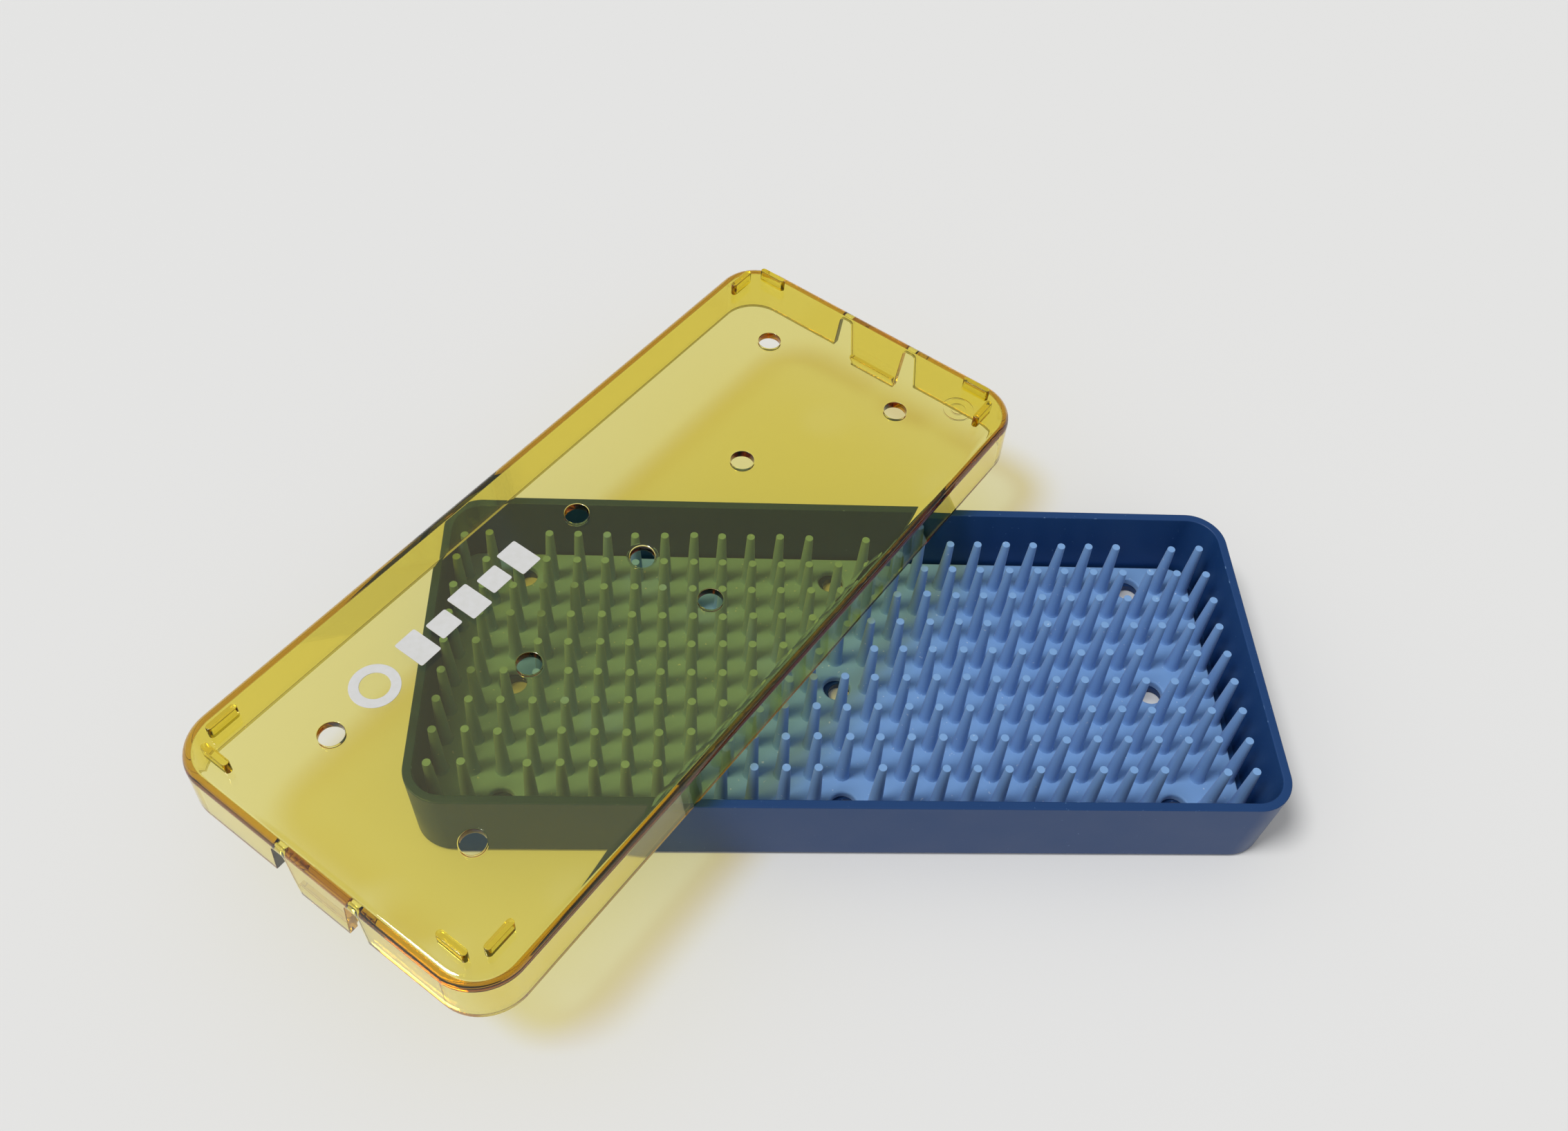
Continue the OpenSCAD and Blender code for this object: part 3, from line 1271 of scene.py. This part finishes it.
    def moulders_rings(self) -> BMesh:
        """Turns the two fine rings that the mould leaves under one corner of the panel.

        Returns:
            The shape, in millimetres.
        """
        x, y = self.ring_at
        both = bmesh.new()
        for across in (self.ring, self.ring / 2):
            outer, inner = across / 2, across / 2 - self.ring_line
            low, high = self.inner_height - 0.3, self.inner_height + self.ring_depth
            section = [(outer, low), (outer, high), (inner, high), (inner, low), (outer, low)]
            ring = turned(section, 32)
            bmesh.ops.translate(ring, vec=(x, y, 0), verts=ring.verts)
            mesh = bpy.data.meshes.new("ring")
            ring.to_mesh(mesh)
            ring.free()
            both.from_mesh(mesh)
            bpy.data.meshes.remove(mesh)
        return both

    def build(self) -> bpy.types.Object:
        """Makes the piece.

        Returns:
            The piece, in metres.
        """
        bm = self.shell()
        bm = worked(bm, self.skirt_trim(), Join.CUT)
        bm = worked(bm, self.slots(), Join.CUT)
        corner = math.radians(55)
        sharp = edges_where(bm, lambda e: e.is_manifold and e.calc_face_angle(0) > corner)
        rounded(bm, sharp, self.cut_edge, 2)
        bm = worked(bm, self.hooks(), Join.ADD)
        bm = worked(bm, self.lugs(), Join.ADD)
        bm = worked(bm, self.vents(), Join.CUT)
        bm = worked(bm, self.middle_vent(), Join.CUT)
        bm = worked(bm, self.moulders_rings(), Join.CUT)
        return finished("clear_lid", bm, self.frame.matrix(), self.finish.build())


@dataclass
class LidPrint:
    """A plain mark in white ink on the lid's panel: a ring and five bars."""

    frame: LidFrame
    finish: PadPrintInk = field(default_factory=PadPrintInk)
    panel_top: float = 11.2
    start: float = -52.85
    line: float = 16.55
    length: float = 41.0
    height: float = 8.6
    gap: float = 1.6
    bars: int = 5
    ink: float = 0.1

    def ring(self) -> BMesh:
        """Turns the flat ring, with its upper edges softened.

        Returns:
            The shape, in millimetres.
        """
        outer = self.height / 2
        inner = outer - self.height * 0.2
        low, high, soft = self.panel_top, self.panel_top + self.ink, 0.04
        ring = turned(
            [
                (outer, low),
                (outer, high - soft),
                (outer - soft, high),
                (inner + soft, high),
                (inner, high - soft),
                (inner, low),
                (outer, low),
            ],
            64,
        )
        bmesh.ops.translate(ring, vec=(self.start + outer, self.line, 0), verts=ring.verts)
        return ring

    def build(self) -> bpy.types.Object:
        """Makes the piece.

        Returns:
            The piece, in metres.
        """
        bm = self.ring()
        run = self.length - self.height - 2 * self.gap
        bar = (run - (self.bars - 1) * self.gap) / self.bars
        for i in range(self.bars):
            tall = self.height * (0.75 if i % 2 == 0 else 0.5)
            block = upright_block(
                bar, tall, self.panel_top, self.panel_top + self.ink, 0.35, 4
            )
            x = self.start + self.height + 2 * self.gap + i * (bar + self.gap) + bar / 2
            bmesh.ops.translate(block, vec=(x, self.line, 0), verts=block.verts)
            mesh = bpy.data.meshes.new("bar")
            block.to_mesh(mesh)
            block.free()
            bm.from_mesh(mesh)
            bpy.data.meshes.remove(mesh)
        return finished("print_mark", bm, self.frame.matrix(), self.finish.build())


# ---------------------------------------------------------------- the studio


@dataclass
class Studio:
    """A pale table, a soft key light from the left, a soft room round it and the camera."""

    table: PaleTable = field(default_factory=PaleTable)
    table_size: float = 12.0
    key_strength: float = 1.76
    key_angle_deg: float = 17.0
    key_from: tuple[float, float, float] = (-0.44, -0.144, 0.886)
    room: float = 0.31
    window: float = 0.3
    window_spread: float = 0.9
    window_from: tuple[float, float, float] = (-0.62, -0.35, 0.7)
    camera_at: tuple[float, float, float] = (-29.69, -145.71, 228.57)
    heading_deg: float = -6.43
    tilt_deg: float = 51.98
    roll_deg: float = 6.17
    lens: float = 32.54

    def build_table(self) -> None:
        """Lays the table under the object."""
        bm = bmesh.new()
        bmesh.ops.create_grid(bm, x_segments=1, y_segments=1, size=self.table_size / 2)
        mesh = bpy.data.meshes.new("table")
        bm.to_mesh(mesh)
        bm.free()
        mesh.materials.append(self.table.build())
        table = bpy.data.objects.new("table", mesh)
        bpy.context.scene.collection.objects.link(table)

    def build_lights(self) -> None:
        """Hangs the key light and lights the room."""
        sun = bpy.data.lights.new("key", "SUN")
        sun.energy = self.key_strength
        sun.angle = math.radians(self.key_angle_deg)
        key = bpy.data.objects.new("key", sun)
        key.rotation_mode = "QUATERNION"
        key.rotation_quaternion = Vector(self.key_from).to_track_quat("Z", "Y")
        bpy.context.scene.collection.objects.link(key)
        world = bpy.data.worlds.new("room")
        world.use_nodes = True
        world.node_tree.nodes.clear()
        # The room is brighter towards its windows than where the lid's panel mirrors it.
        looking = add_node(
            world.node_tree,
            "ShaderNodeVectorMath",
            {"operation": "DOT_PRODUCT"},
            i0=add_node(world.node_tree, "ShaderNodeTexCoord").outputs["Object"],
            i1=Vector(self.window_from).normalized(),
        )
        glow = add_node(
            world.node_tree,
            "ShaderNodeMapRange",
            {"interpolation_type": "SMOOTHSTEP"},
            Value=looking.outputs["Value"],
            i1=0.0,
            i2=self.window_spread,
            i3=self.room,
            i4=self.room + self.window,
        )
        room = add_node(
            world.node_tree,
            "ShaderNodeBackground",
            Color=(1.0, 1.0, 1.0, 1.0),
            Strength=glow.outputs[0],
        )
        add_node(world.node_tree, "ShaderNodeOutputWorld", Surface=room.outputs[0])
        bpy.context.scene.world = world

    def build_camera(self) -> None:
        """Sets up the camera and the plain way that colours are shown."""
        data = bpy.data.cameras.new("camera")
        data.sensor_width = 36.0
        data.lens = self.lens
        data.clip_start = 0.01
        data.clip_end = 50.0
        camera = bpy.data.objects.new("camera", data)
        camera.location = Vector(self.camera_at) * MM
        camera.rotation_mode = "QUATERNION"
        level = Matrix.Rotation(math.radians(self.heading_deg), 3, "Z")
        tilt = Matrix.Rotation(math.radians(90 - self.tilt_deg), 3, "X")
        roll = Matrix.Rotation(math.radians(self.roll_deg), 3, "Z")
        camera.rotation_quaternion = (level @ tilt @ roll).to_quaternion()
        bpy.context.scene.collection.objects.link(camera)
        bpy.context.scene.camera = camera
        scene = bpy.context.scene
        scene.view_settings.view_transform = "Standard"
        # Light is passed along inside the lid's walls many times before it comes out.
        scene.cycles.max_bounces = 24
        scene.cycles.glossy_bounces = 20
        scene.cycles.transmission_bounces = 20
        scene.cycles.transparent_max_bounces = 24

    def build(self) -> None:
        """Makes the whole studio."""
        self.build_table()
        self.build_lights()
        self.build_camera()


# ---------------------------------------------------------------- all together


def in_mm(node: str) -> tuple[Vector, Vector]:
    """Gives a CAD node's lowest and highest corners in millimetres."""
    low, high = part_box(node)
    return low / MM, high / MM


def place_piece(piece: bpy.types.Object, body: str, node: str) -> None:
    """Puts a finished piece on its body, in place of its CAD node, and reports it.

    Args:
        piece: the piece.
        body: the CAD body that it rides on.
        node: the CAD node that it stands for.
    """
    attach(piece, body)
    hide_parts(node)
    log.info(
        "%s: %d faces, %d open edges, rides on %s",
        piece.name,
        len(piece.data.polygons),
        open_edges(piece),
        body,
    )


def main() -> None:
    """Builds the tray, its mat, its lid and the studio."""
    logging.basicConfig(level=logging.INFO, format="%(message)s")
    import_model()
    Studio().build()

    low, high = in_mm("base")
    place_piece(TrayBase(low, high).build(), "tray_base", "base")

    low, high = in_mm("finger_mat")
    place_piece(FingerMat(low, high).build(), "mat", "finger_mat")

    low, high = in_mm("lid")
    frame = LidFrame(centre=(low + high) / 2, rim=low.z + ClearLid.tab_drop)
    place_piece(ClearLid(frame).build(), "lid", "lid")
    place_piece(LidPrint(frame).build(), "lid", "lid_print")


if __name__ == "__main__":
    main()
